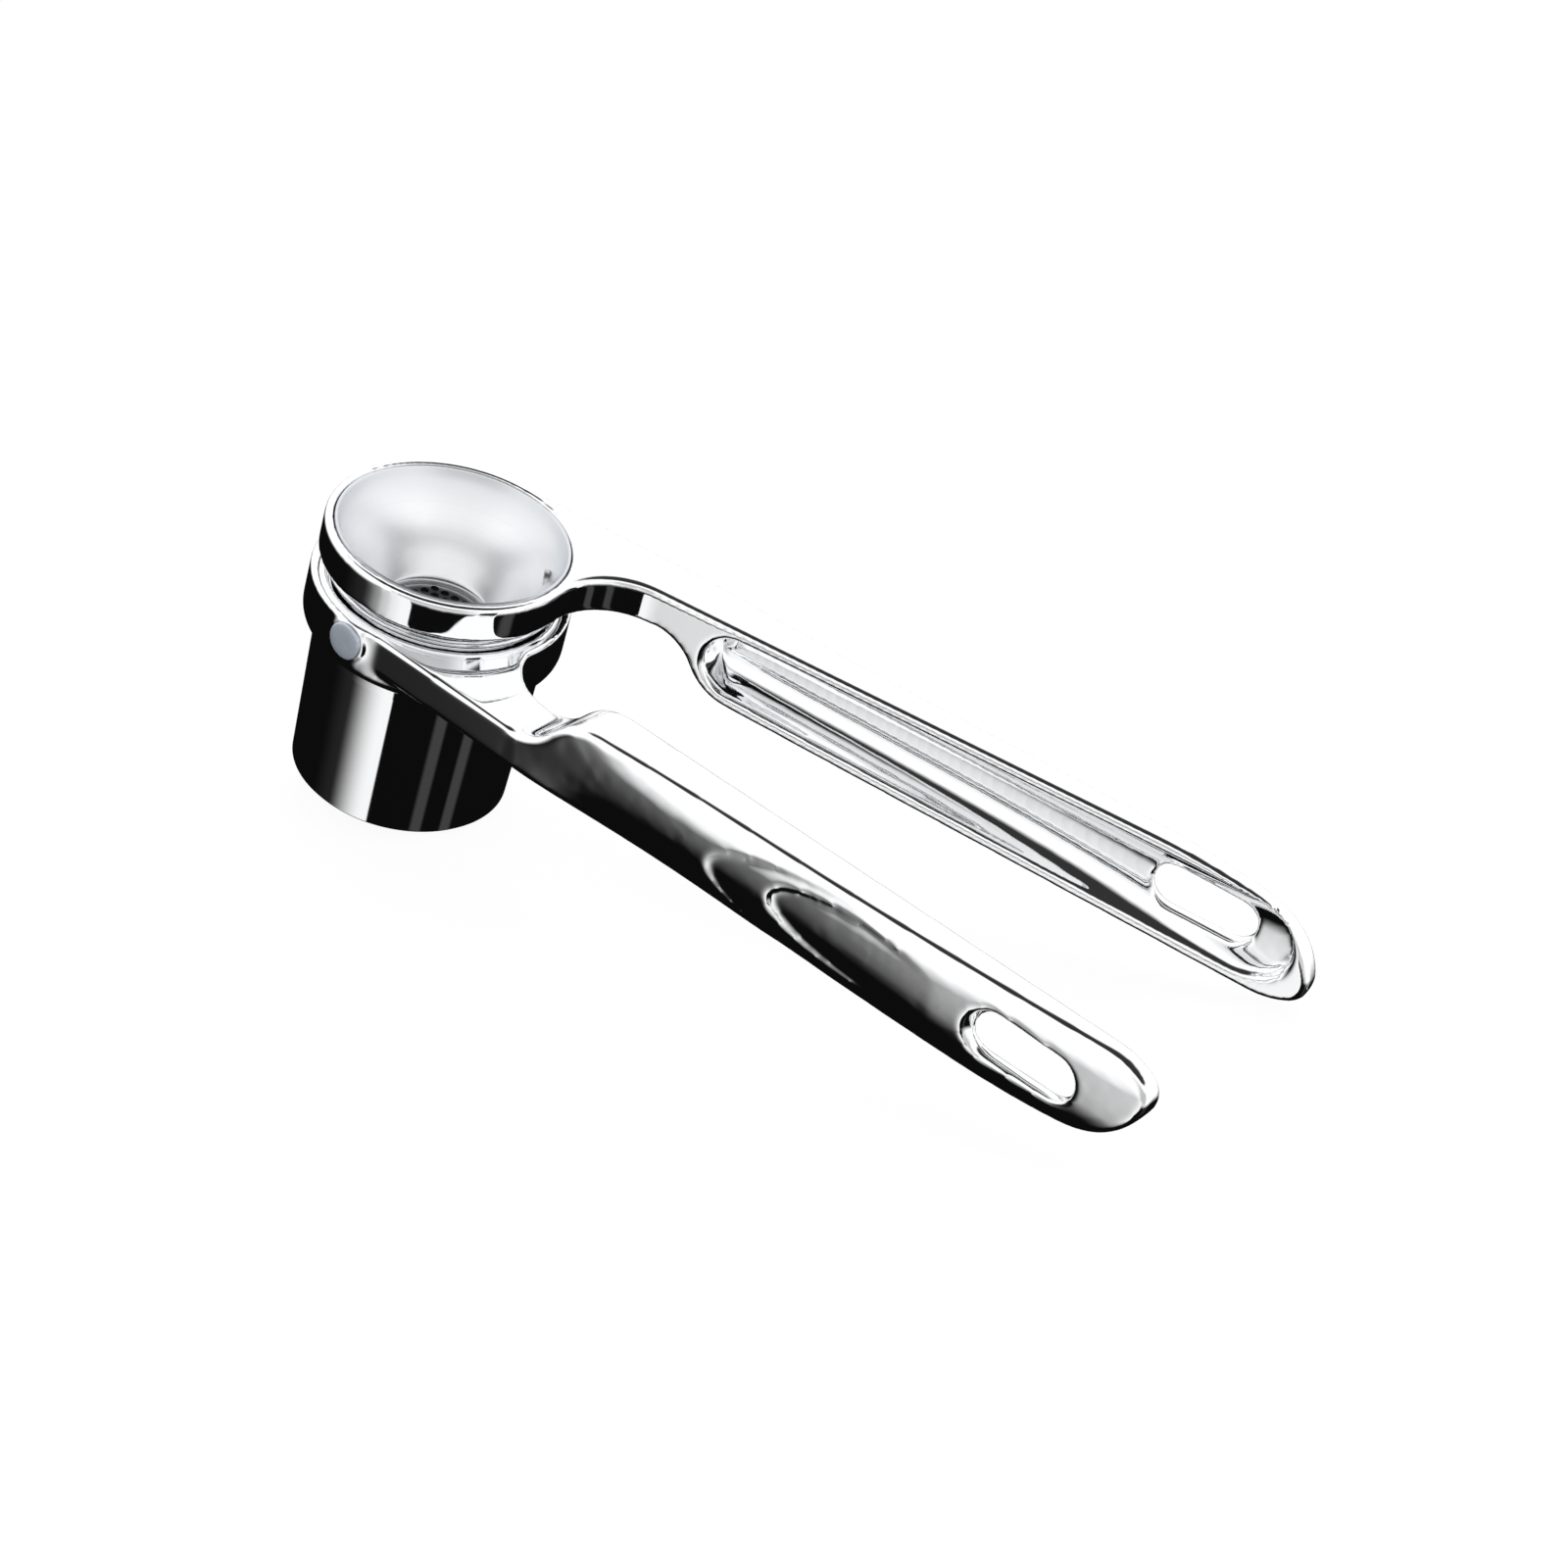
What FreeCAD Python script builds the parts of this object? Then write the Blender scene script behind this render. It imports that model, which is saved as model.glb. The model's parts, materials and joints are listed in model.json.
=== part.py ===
import FreeCAD, Part
import math
import os

V = FreeCAD.Vector
AXIS_X = V(1, 0, 0)
AXIS_Z = V(0, 0, 1)
ORIGIN = V(0, 0, 0)

# ---------------------------------------------------------------- sizes, mm and degrees
# Frame: Z is the chamber axis, the origin is the middle of the barrel's bottom face,
# and +X runs along the lower handle.
BARREL_FOOT_R = 18.65
BARREL_R = 19.5
BARREL_TAPER_TOP = 27.0
COLLAR_TOP = 39.4
COLLAR_WALL = 2.7
COLLAR_DROP = 10.2
COLLAR_ROUND = 2.4

HEAD_R = 21.6
HEAD_T = 6.8
HEAD_GAP = 3.2
REACH = 158.0
OPEN_REST = 13.0
OPEN_FULL = 55.0

INNER_Y = 10.6
OUTER_MID_X = 80.0
OUTER_MID_Y = 19.8
OUTER_TIP_Y = 15.0
TIP_OVERRUN = 1.5
NECK_ARC_R = 12.0
FLARE_START = 34.0
FLARE_END = 50.0
GRIP_ROOT_H = 15.4
GRIP_TIP_H = 19.6
GRIP_EDGE = 0.9
MOUTH_BEVEL = 0.6
CROWN_STEPS = 8
CROWN_START = 0.04
CROWN_FULL_X = 76.0
CROWN_TOP = 2.6
CROWN_SHARE = 0.55
CROWN_SPARE = 0.5
NOSE_LOW = 9.0
NOSE_HIGH = 32.0
NOSE_SHARE = 0.64
NOSE_LEAN = 0.35
NECK_EDGE = 0.8

TROUGH_START = 44.2
TROUGH_RIM = 2.2
TROUGH_WALL = 2.5
TROUGH_SHOULDER = 0.9
TROUGH_END_WALL = 4.2
TROUGH_TAIL = 9.0
TROUGH_NOSE = 26.0
TROUGH_TAIL_DROP = 1.4
TROUGH_ROOT = 6.0
TROUGH_STEPS = 8
HANG_X = 137.0
HANG_L = 19.0
HANG_H = 8.0
HANG_FLARE = 1.5
THUMB_X = 106.0
THUMB_L = 36.0
THUMB_H = 11.5
THUMB_DEPTH = 1.0
THUMB_RUN_OUT = 120.0
BROW_X = 111.0
BROW_L = 70.0
BROW_H = 18.0
BROW_LOWER = 1.3
BROW_DEPTH = 0.35

RUN_FIT = 0.05
CAM_GAP = 0.3
GROOVE_TRIM = 0.06
CHAMBER_R = 13.6
SLEEVE_WALL = 2.95
SLEEVE_FOOT = 3.7
STRAINER_T = 1.2
STRAINER_HOLE_R = 0.7
STRAINER_PITCH = 2.0
STRAINER_RINGS = 4
STRAINER_LEDGE = 0.8
STRAINER_Z = 31.0

BUSH_WALL = 1.2
BUSH_FLANGE_T = 1.5
WASHER_PLAY = 0.05
BAND_SETBACK = 1.0

BOWL_RIM_WALL = 1.5
BOWL_SEAT_DEPTH = 4.4
BOWL_SEAL_T = 0.3
BOWL_GAP = 0.15
THROAT_R = 9.0

CAP_T = 2.8
CAP_STEP = 0.6
CAP_R = 17.3
CAP_KEY_R = 1.2
CAP_KEY_DEPTH = 1.5
CAP_KEY_REACH = 9.0
FOOT_WASHER_T = 0.8

RETAIN_R = 1.4
RETAIN_HEAD_R = 3.3
RETAIN_HEAD_T = 0.6
RETAIN_Z = 35.8
RETAIN_BOSS_R = 3.55
RETAIN_BOSS_OUT = 0.2
RETAIN_BITE = 1.05

CROSS_R = 1.5
CAM_DEPTH = 1.3
CAM_LEAD = 10.0
STROKE_TOP_GAP = 0.2
FACE_T = 1.5
NUB_R = 0.4
NUB_H = 1.0
CROSS_DROP = 15.6
PLUNGER_SKIRT_WALL = 3.4
PLUNGER_TOP_T = 5.0
SEAL_R = 0.9
SEAL_DROP = 2.9
SCREW_R = 1.5

SET_SCREW_R = 0.9
SET_SCREW_ANGLES = (70, 120)
BOWL_SCREW_R = 0.9
BOWL_HEAD_R = 1.9
BOWL_HEAD_T = 0.8
BOWL_HEAD_SEAT = 17.0
BOWL_SCREW_END = 24.0
BOWL_SCREW_ANGLE = 25

# ---------------------------------------------------------------- derived sizes
FLIP_Z = COLLAR_TOP + HEAD_GAP / 2
RING_Z = COLLAR_TOP + HEAD_GAP
TOP_Z = RING_Z + HEAD_T
COLLAR_R = BARREL_R + COLLAR_WALL
COLLAR_FOOT = COLLAR_TOP - COLLAR_DROP
SLEEVE_R = CHAMBER_R + SLEEVE_WALL
BORE_R = SLEEVE_R + RUN_FIT
BARREL_TOP = COLLAR_TOP - 1.8
HUB_R = BARREL_R - BUSH_WALL - RUN_FIT
FLANGE_R = HEAD_R - 2.2
SEAT_Z = TOP_Z - BOWL_SEAT_DEPTH
BOWL_R = HEAD_R - BOWL_RIM_WALL - BOWL_GAP
STRAINER_R = CHAMBER_R + STRAINER_LEDGE
SET_SCREW_Z = (RING_Z + SEAT_Z) / 2
BOWL_SCREW_Z = SET_SCREW_Z
RAD_PER_DEG = math.pi / 180
CLOSE_LIFT = CAM_LEAD * OPEN_REST * RAD_PER_DEG
OPEN_DROP = CAM_LEAD * (OPEN_FULL - OPEN_REST) * RAD_PER_DEG
FACE_TOP = STRAINER_Z - STROKE_TOP_GAP - CLOSE_LIFT
CROSS_Z = FACE_TOP - CROSS_DROP
PLUNGER_R = CHAMBER_R - RUN_FIT
CAM_R = BORE_R + CAM_DEPTH
CROSS_END = CAM_R - CAM_GAP
PIN_SLOT_R = CROSS_R + CAM_GAP


# ---------------------------------------------------------------- small tools
def face(points):
    return Part.Face(Part.makePolygon([V(*p) for p in points + points[:1]]))


def turned(profile):
    """A solid of revolution about Z from (radius, height) points."""
    return face([(r, 0, z) for r, z in profile]).revolve(ORIGIN, AXIS_Z, 360)


def cylinder(radius, z0, z1):
    return Part.makeCylinder(radius, z1 - z0, V(0, 0, z0))


def tube(inner, outer, z0, z1):
    return cylinder(outer, z0, z1).cut(cylinder(inner, z0 - 1, z1 + 1))


def spoke(radius, start, end, z, angle):
    """A radial rod at one height and angle, from one distance to another."""
    way = V(math.cos(math.radians(angle)), math.sin(math.radians(angle)), 0)
    return Part.makeCylinder(radius, end - start, way * start + V(0, 0, z), way)


def turn(shape, angle):
    result = shape.copy()
    result.rotate(ORIGIN, AXIS_Z, angle)
    return result


def flip(shape):
    """The same casting turned over about the line halfway between the two heads."""
    result = shape.copy()
    result.rotate(V(0, 0, FLIP_Z), AXIS_X, 180)
    return result


def outline_face(edges):
    return Part.Face(Part.Wire(Part.__sortEdges__(edges)))


def line(a, b):
    return Part.makeLine(V(*a), V(*b))


def arc(a, b, c):
    return Part.Arc(V(*a), V(*b), V(*c)).toShape()


def unit(x, z):
    size = math.hypot(x, z)
    return x / size, z / size


def tangent_arc(start, way, end):
    """An arc in the XZ plane that leaves one point in a given direction and meets another."""
    nx, nz = -way[1], way[0]
    cx, cz = end[0] - start[0], end[1] - start[1]
    radius = (cx * cx + cz * cz) / (2 * (nx * cx + nz * cz))
    mx, mz = start[0] + nx * radius, start[1] + nz * radius
    hx, hz = unit((start[0] + end[0]) / 2 - mx, (start[1] + end[1]) / 2 - mz)
    top = (mx + hx * abs(radius), 0, mz + hz * abs(radius))
    return arc((start[0], 0, start[1]), top, (end[0], 0, end[1]))


def two_arcs(start, way_out, end, way_in):
    """Two arcs in the XZ plane that join two points smoothly in two given directions."""
    vx, vz = end[0] - start[0], end[1] - start[1]
    tx, tz = way_out[0] + way_in[0], way_out[1] + way_in[1]
    square = 2 * (way_out[0] * way_in[0] + way_out[1] * way_in[1] - 1)
    linear = -2 * (vx * tx + vz * tz)
    constant = vx * vx + vz * vz
    if abs(square) < 1e-6:
        d = -constant / linear
    else:
        d = (-linear - math.sqrt(linear * linear - 4 * square * constant)) / (2 * square)
    mx = (start[0] + end[0] + d * (way_out[0] - way_in[0])) / 2
    mz = (start[1] + end[1] + d * (way_out[1] - way_in[1])) / 2
    first = tangent_arc(start, way_out, (mx, mz))
    last = tangent_arc(end, (-way_in[0], -way_in[1]), (mx, mz))
    return [first, last]


# ---------------------------------------------------------------- the arm casting
def tangent_point():
    far = math.hypot(OUTER_MID_X, OUTER_MID_Y)
    angle = math.atan2(OUTER_MID_Y, OUTER_MID_X) + math.acos(HEAD_R / far)
    return HEAD_R * math.cos(angle), HEAD_R * math.sin(angle)


def outer_bow():
    """Centre and radius of the outer curve, which leaves the straight part smoothly."""
    tx, ty = tangent_point()
    length = math.hypot(OUTER_MID_X - tx, OUTER_MID_Y - ty)
    nx, ny = (OUTER_MID_Y - ty) / length, -(OUTER_MID_X - tx) / length
    dx, dy = REACH + TIP_OVERRUN - OUTER_MID_X, OUTER_TIP_Y - OUTER_MID_Y
    radius = (dx * dx + dy * dy) / (2 * (nx * dx + ny * dy))
    return OUTER_MID_X + nx * radius, OUTER_MID_Y + ny * radius, radius


def plan_outer(x):
    """Distance of the outer face from the centre plane, straight first and then bowed."""
    tx, ty = tangent_point()
    if x <= OUTER_MID_X:
        return ty + (OUTER_MID_Y - ty) * (x - tx) / (OUTER_MID_X - tx)
    cx, cy, radius = outer_bow()
    return cy + math.sqrt(radius * radius - (x - cx) ** 2)


def neck_arc():
    """Centre and both ends of the hollow curve between head and grip."""
    centre_y = INNER_Y - NECK_ARC_R
    reach = HEAD_R + NECK_ARC_R
    centre_x = math.sqrt(reach * reach - centre_y * centre_y)
    share = HEAD_R / reach
    return (centre_x, centre_y), (centre_x * share, centre_y * share), (centre_x, INNER_Y)


def plan_face():
    tx, ty = tangent_point()
    (cx, cy), (sx, sy), (ex, ey) = neck_arc()
    middle = math.radians((math.degrees(math.atan2(sy - cy, sx - cx)) % 360 + 90) / 2)
    mx = cx + NECK_ARC_R * math.cos(middle)
    my = cy + NECK_ARC_R * math.sin(middle)
    end = REACH + TIP_OVERRUN
    half = (OUTER_MID_X + end) / 2
    edges = [
        line((tx, ty, 0), (OUTER_MID_X, OUTER_MID_Y, 0)),
        arc((OUTER_MID_X, OUTER_MID_Y, 0), (half, plan_outer(half), 0), (end, OUTER_TIP_Y, 0)),
        line((end, OUTER_TIP_Y, 0), (end, INNER_Y, 0)),
        line((end, INNER_Y, 0), (ex, ey, 0)),
        arc((ex, ey, 0), (mx, my, 0), (sx, sy, 0)),
        arc((sx, sy, 0), (-HEAD_R, 0, 0), (tx, ty, 0)),
    ]
    return outline_face(edges)


def grip_bottom(x):
    share = (x - FLARE_END) / (REACH - FLARE_END)
    return TOP_Z - GRIP_ROOT_H - (GRIP_TIP_H - GRIP_ROOT_H) * share


def grip_side_face():
    """The grip seen from the side: flare at the neck, rounded end."""
    low = grip_bottom(FLARE_END)
    under = REACH - NOSE_LOW
    over = REACH - NOSE_HIGH
    along = unit(under - FLARE_END, grip_bottom(under) - low)
    nose = (REACH, TOP_Z - GRIP_TIP_H * NOSE_SHARE)
    rise = unit(-NOSE_LEAN, 1)
    edges = [
        line((FLARE_START, 0, TOP_Z), (FLARE_START, 0, RING_Z)),
        *two_arcs((FLARE_START, RING_Z), (1, 0), (FLARE_END, low), along),
        line((FLARE_END, 0, low), (under, 0, grip_bottom(under))),
        *two_arcs((under, grip_bottom(under)), along, nose, rise),
        *two_arcs(nose, rise, (over, TOP_Z), (-1, 0)),
        line((over, 0, TOP_Z), (FLARE_START, 0, TOP_Z)),
    ]
    return outline_face(edges)


def extrude_y(shape, y0, y1):
    shape = shape.copy()
    shape.translate(V(0, y0, 0))
    return shape.extrude(V(0, y1 - y0, 0))


def extrude_z(shape, z0, z1):
    shape = shape.copy()
    shape.translate(V(0, 0, z0))
    return shape.extrude(V(0, 0, z1 - z0))


def crown_inset(x):
    """How far the grip's top edge stands back from its widest line, growing from the neck."""
    share = min(max((x - FLARE_START) / (CROWN_FULL_X - FLARE_START), 0), 1)
    return CROWN_START + (CROWN_TOP - CROWN_START) * share * share * (3 - 2 * share)


def crown_section(x):
    """D-shaped section across the grip, taller than the grip itself."""
    height = TOP_Z - grip_bottom(x)
    middle = TOP_Z - height * CROWN_SHARE
    inset = crown_inset(x)
    rise = TOP_Z - middle
    radius = (rise * rise + inset * inset) / (2 * inset)
    centre = plan_outer(x) - radius
    high = TOP_Z + CROWN_SPARE
    low = middle - (high - middle)
    edge = centre + math.sqrt(radius * radius - (high - middle) ** 2)
    return Part.Wire([
        line((x, INNER_Y, low), (x, INNER_Y, high)),
        line((x, INNER_Y, high), (x, edge, high)),
        arc((x, edge, high), (x, plan_outer(x), middle), (x, edge, low)),
        line((x, edge, low), (x, INNER_Y, low)),
    ])


def crowned_bar():
    end = REACH + TIP_OVERRUN
    stations = [FLARE_START + (end - FLARE_START) * i / CROWN_STEPS for i in range(CROWN_STEPS + 1)]
    return Part.makeLoft([crown_section(x) for x in stations], True, False)


def grip_body(bar):
    """The grip: its side outline cut from the crowned bar."""
    return bar.common(extrude_y(grip_side_face(), -5, 40))


def crown_edges(solid):
    """Edges where the crowned face meets the rest, leaving out the one at the neck end."""
    picked = []
    for edge in solid.Edges:
        points = edge.discretize(7)
        outer = min(p.y for p in points) > INNER_Y + 1.0
        run = max(p.x for p in points) - min(p.x for p in points)
        if outer and run > 0.5:
            picked.append(edge)
    return picked


def trough_limits(x):
    """Lowest and highest line of the hollow at one place along the grip."""
    return grip_bottom(x) + TROUGH_RIM, TOP_Z - TROUGH_RIM


def gutter_section(x):
    """Round-bottomed section of the hollow, open towards the other arm."""
    low, high = trough_limits(x)
    floor = plan_outer(x) - TROUGH_WALL
    middle = (low + high) / 2
    mouth = INNER_Y + TROUGH_SHOULDER
    return Part.Wire([
        line((x, 0, low), (x, mouth, low)),
        arc((x, mouth, low), (x, floor, middle), (x, mouth, high)),
        line((x, mouth, high), (x, 0, high)),
        line((x, 0, high), (x, 0, low)),
    ])


def trough_tool():
    """The long gutter in the grip's inner face, with a round end towards the head."""
    end = REACH - TROUGH_END_WALL
    tail = end - TROUGH_TAIL
    span = end - TROUGH_START
    stations = [TROUGH_START + span * i / TROUGH_STEPS for i in range(TROUGH_STEPS + 1)]
    gutter = Part.makeLoft([gutter_section(x) for x in stations], True, False)
    root = TROUGH_START + TROUGH_ROOT
    root_low, root_high = trough_limits(root)
    tail_low, tail_high = trough_limits(tail)
    tail_high = tail_high - TROUGH_TAIL_DROP
    shoulder = REACH - TROUGH_NOSE
    edges = [
        line((root, 0, root_high), (shoulder, 0, root_high)),
        *two_arcs((shoulder, root_high), (1, 0), (end, (tail_low + tail_high) / 2), (0, -1)),
        *two_arcs((end, (tail_low + tail_high) / 2), (0, -1), (tail, tail_low), (-1, 0)),
        line((tail, 0, tail_low), (root, 0, root_low)),
        arc((root, 0, root_low), (TROUGH_START, 0, (root_low + root_high) / 2), (root, 0, root_high)),
    ]
    outline = outline_face(edges)
    return gutter.common(extrude_y(outline, -1, 40)).fuse(mouth_bevel(outline))


def mouth_bevel(outline):
    """Widens the hollow where it meets the inner face, so that its rim is eased."""
    wide = outline.OuterWire.makeOffset2D(MOUTH_BEVEL * 2)
    wide.translate(V(0, INNER_Y - MOUTH_BEVEL, 0))
    narrow = outline.OuterWire.copy()
    narrow.translate(V(0, INNER_Y + MOUTH_BEVEL, 0))
    return Part.makeLoft([wide, narrow], True, True)


def stadium(length, height, x, y, z):
    """A flat long-round outline standing in the plane across Y."""
    half = (length - height) / 2
    r = height / 2
    return Part.Wire([
        line((x - half, y, z + r), (x + half, y, z + r)),
        arc((x + half, y, z + r), (x + half + r, y, z), (x + half, y, z - r)),
        line((x + half, y, z - r), (x - half, y, z - r)),
        arc((x - half, y, z - r), (x - half - r, y, z), (x - half, y, z + r)),
    ])


def hang_tool():
    """Hanging hole, widening towards the outside so that its rim is soft."""
    z = (TOP_Z + grip_bottom(HANG_X)) / 2 - 0.2
    skin = plan_outer(HANG_X)
    shaft = Part.Face(stadium(HANG_L, HANG_H, HANG_X, 0, z)).extrude(V(0, 40, 0))
    wide = stadium(HANG_L + 2 * HANG_FLARE, HANG_H + 2 * HANG_FLARE, HANG_X, skin + 0.9, z)
    deep = stadium(HANG_L, HANG_H, HANG_X, skin - HANG_FLARE, z)
    rim = Part.makeLoft([wide, deep], True, True)
    return shaft.fuse(rim)


def oval_prism(x, z, length, height):
    """An upright oval outline, extruded across the grip's outer face."""
    oval = Part.Ellipse(V(x, 0, z), length / 2, height / 2).toShape()
    oval.rotate(V(x, 0, z), AXIS_X, 90)
    return extrude_y(Part.Face(Part.Wire([oval])), INNER_Y + 1, 40)


def thumb_facet(bar, x, z, length, height, run_out, depth):
    """A facet set into the outer face: deepest at the head end, fading out towards the tip."""
    lean = math.degrees(math.atan2(depth, run_out - x + length / 2))
    below = bar.copy()
    below.rotate(V(run_out, plan_outer(run_out), 0), AXIS_Z, lean)
    return oval_prism(x, z, length, height).cut(below)


def thumb_tools(bar):
    middle = (TOP_Z + grip_bottom(THUMB_X)) / 2
    inner = thumb_facet(bar, THUMB_X, middle, THUMB_L, THUMB_H, THUMB_RUN_OUT, THUMB_DEPTH)
    outer = thumb_facet(bar, BROW_X, middle + BROW_LOWER, BROW_L, BROW_H, THUMB_RUN_OUT, BROW_DEPTH)
    return [inner, outer]


def soften(solid, radius, keep):
    """Round the edges that a test picks, one set at a time."""
    edges = [e for e in solid.Edges if keep(e)]
    return solid.makeFillet(radius, edges)


def arm_blank():
    """Head disc, thin neck and hollow grip, as cast, for the upper arm."""
    neck = extrude_z(plan_face(), RING_Z, TOP_Z)
    neck = neck.common(Part.makeBox(FLARE_START + 60, 120, 60, V(-60, -60, RING_Z - 10)))
    neck = soften(neck, NECK_EDGE, lambda e: is_rim(e, TOP_Z))
    bar = crowned_bar()
    grip = grip_body(bar)
    grip = grip.makeFillet(GRIP_EDGE, crown_edges(grip))
    grip = grip.makeFillet(NECK_EDGE, [e for e in grip.Edges if on_inner_face(e)])
    arm = neck.fuse(grip).cut(trough_tool()).cut(hang_tool())
    for tool in thumb_tools(bar):
        arm = arm.cut(tool)
    return arm


def on_inner_face(edge):
    """True for the edges round the grip's flat inner face, except the cut at the neck end."""
    points = edge.discretize(7)
    flat = all(abs(p.y - INNER_Y) < 0.02 for p in points)
    return flat and max(p.x for p in points) > FLARE_START + 0.5


def is_rim(edge, z):
    """True for a level edge at one height that is not the cut across the neck."""
    box = edge.BoundBox
    level = abs(box.ZMin - z) < 1e-6 and abs(box.ZMax - z) < 1e-6
    return level and box.XMin < FLARE_START - 1


# ---------------------------------------------------------------- fixed lower body
def lower_arm():
    arm = flip(arm_blank())
    collar = cylinder(COLLAR_R, COLLAR_FOOT, COLLAR_TOP)
    collar = soften(collar, COLLAR_ROUND, lambda e: e.BoundBox.ZMax < COLLAR_FOOT + 0.1)
    arm = arm.fuse(collar)
    for side in (-90, 90):
        boss = spoke(RETAIN_BOSS_R, BARREL_R, COLLAR_R + RETAIN_BOSS_OUT, RETAIN_Z, side)
        arm = arm.fuse(boss)
    arm = arm.cut(cylinder(BARREL_R, COLLAR_FOOT - 5, TOP_Z + 5))
    for side in (-90, 90):
        arm = arm.cut(spoke(RETAIN_R, SLEEVE_R, COLLAR_R + 5, RETAIN_Z, side))
    return arm


def barrel():
    body = turned([
        (BORE_R, 0), (BARREL_FOOT_R - 0.6, 0), (BARREL_FOOT_R, 0.6), (BARREL_R, BARREL_TAPER_TOP),
        (BARREL_R, BARREL_TOP), (BORE_R, BARREL_TOP),
    ])
    body = body.cut(cylinder(CAP_R, -1, CAP_T))
    for side in (-90, 90):
        body = body.cut(spoke(RETAIN_R, BORE_R - 3, BARREL_R + 3, RETAIN_Z, side))
    for side in (0, 180):
        body = body.cut(cam_groove(OPEN_REST + side))
    return body


def cam_groove(start):
    """Helical groove for one end of the cross pin, with a straight way in from below."""
    top = CROSS_Z + CLOSE_LIFT
    low = CROSS_Z - OPEN_DROP
    closed = start - OPEN_REST
    opened = start + OPEN_FULL - OPEN_REST
    inside = BORE_R - 2
    half_width = PIN_SLOT_R - GROOVE_TRIM
    tool = spoke(PIN_SLOT_R, inside, CAM_R, top, closed)
    tool = tool.fuse(spoke(PIN_SLOT_R, inside, CAM_R, low, opened))
    tool = tool.fuse(turn(ribbon(inside, CAM_R, half_width, low, top), opened))
    foot = CAP_T - 2
    slab = Part.makeBox(CAM_R, 2 * half_width, low - foot, V(inside, -half_width, foot))
    slab = slab.common(cylinder(CAM_R, foot - 1, low + 1))
    return tool.fuse(turn(slab, opened))


def ribbon(inner, outer, half_width, low, top):
    """A helical bar of rectangular section, rising as it turns back towards the closed end."""
    helix = Part.makeHelix(2 * math.pi * CAM_LEAD, top - low, BORE_R, 0, True)
    slope = math.atan2(CAM_LEAD, BORE_R)
    across = V(0, math.sin(slope), math.cos(slope)) * half_width
    near = V(inner, 0, 0)
    far = V(outer, 0, 0)
    corners = [far + across, far - across, near - across, near + across]
    profile = Part.makePolygon(corners + corners[:1])
    bar = Part.Wire(helix.Edges).makePipeShell([profile], True, True)
    bar.translate(V(0, 0, low))
    return bar


def barrel_cap():
    disc = turned([
        (0, 0), (CAP_R, 0), (CAP_R, CAP_T - CAP_STEP), (CAP_R - 2.2, CAP_T - CAP_STEP),
        (CAP_R - 2.2, CAP_T), (0, CAP_T),
    ])
    for side in (-1, 1):
        disc = disc.cut(Part.makeCylinder(CAP_KEY_R, CAP_KEY_DEPTH, V(side * CAP_KEY_REACH, 0, 0)))
    return disc


def cap_seal():
    return tube(CAP_R - 2.2, CAP_R, CAP_T - CAP_STEP, CAP_T)


def foot_washer():
    return tube(CHAMBER_R + 0.2, BORE_R - RUN_FIT, CAP_T, CAP_T + FOOT_WASHER_T)


def bearing_bush():
    low = BARREL_TOP
    flange_r = HEAD_R - BAND_SETBACK
    return turned([
        (HUB_R + RUN_FIT, low), (BARREL_R, low), (BARREL_R, COLLAR_TOP), (flange_r, COLLAR_TOP),
        (flange_r, COLLAR_TOP + BUSH_FLANGE_T), (HUB_R + RUN_FIT, COLLAR_TOP + BUSH_FLANGE_T),
    ])


def thrust_washer():
    low = COLLAR_TOP + BUSH_FLANGE_T
    return tube(HUB_R + RUN_FIT, HEAD_R - BAND_SETBACK, low, RING_Z - WASHER_PLAY)


def retaining_pins():
    pins = []
    for side in (-90, 90):
        face_r = COLLAR_R + RETAIN_BOSS_OUT
        shank = spoke(RETAIN_R, SLEEVE_R - RETAIN_BITE + 0.2, face_r + 0.5, RETAIN_Z, side)
        head = spoke(RETAIN_HEAD_R, face_r, face_r + RETAIN_HEAD_T, RETAIN_Z, side)
        reach = face_r + RETAIN_HEAD_T - 0.05
        rim = [e for e in head.Edges if max(math.hypot(v.X, v.Y) for v in e.Vertexes) > reach]
        rim = [e for e in rim if e.BoundBox.ZLength > RETAIN_HEAD_R and is_round(e)]
        pins.append(head.makeFillet(RETAIN_HEAD_T / 2, rim[:1]).fuse(shank))
    return Part.makeCompound(pins)


def is_round(edge):
    return isinstance(edge.Curve, Part.Circle)


# ---------------------------------------------------------------- turning upper body
def upper_arm():
    arm = arm_blank()
    arm = arm.cut(cylinder(FLANGE_R, RING_Z - 5, TOP_Z))
    arm = arm.cut(cylinder(HEAD_R - BOWL_RIM_WALL, SEAT_Z, TOP_Z + 5))
    for side in SET_SCREW_ANGLES:
        arm = arm.cut(spoke(SET_SCREW_R, FLANGE_R - 1, HEAD_R + 5, SET_SCREW_Z, side))
    arm = arm.cut(spoke(BOWL_SCREW_R, FLANGE_R - 1, BOWL_SCREW_END + 0.3, BOWL_SCREW_Z, BOWL_SCREW_ANGLE))
    return turn(arm, OPEN_REST)


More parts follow.
